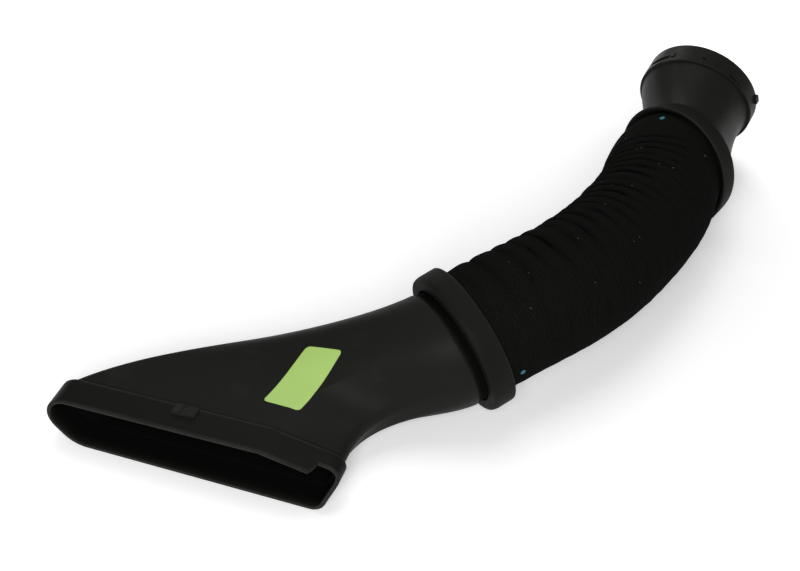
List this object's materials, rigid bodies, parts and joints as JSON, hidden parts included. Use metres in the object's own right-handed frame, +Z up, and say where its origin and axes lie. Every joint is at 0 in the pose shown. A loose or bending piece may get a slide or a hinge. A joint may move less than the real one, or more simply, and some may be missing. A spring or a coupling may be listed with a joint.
{
  "type": "air intake hose",
  "caption": "Bent ribbed fabric air hose with clamping collars, between a wide flat moulded intake scoop and a flared round connector.",
  "frame": {"origin": "middle of the bounding box in plan, on the floor that the part lies on", "axes": "+Z up, +Y the way the air flows from the mouth to the flared end, +X to the right of that"},
  "size_m": [0.328, 0.4108, 0.092],
  "materials": {
    "moulded_plastic": "black moulded plastic with a soft satin sheen and a fine grain",
    "collar_plastic": "black matte plastic",
    "hose_fabric": "black coated knit over a spiral wire, with soft ribs",
    "connector_plastic": "black moulded plastic with a satin sheen"
  },
  "bodies": {
    "root": {"intake_scoop": "moulded_plastic", "front_collar": "collar_plastic", "hose": "hose_fabric", "rear_collar": "collar_plastic", "connector": "connector_plastic"}
  },
  "joints": []
}
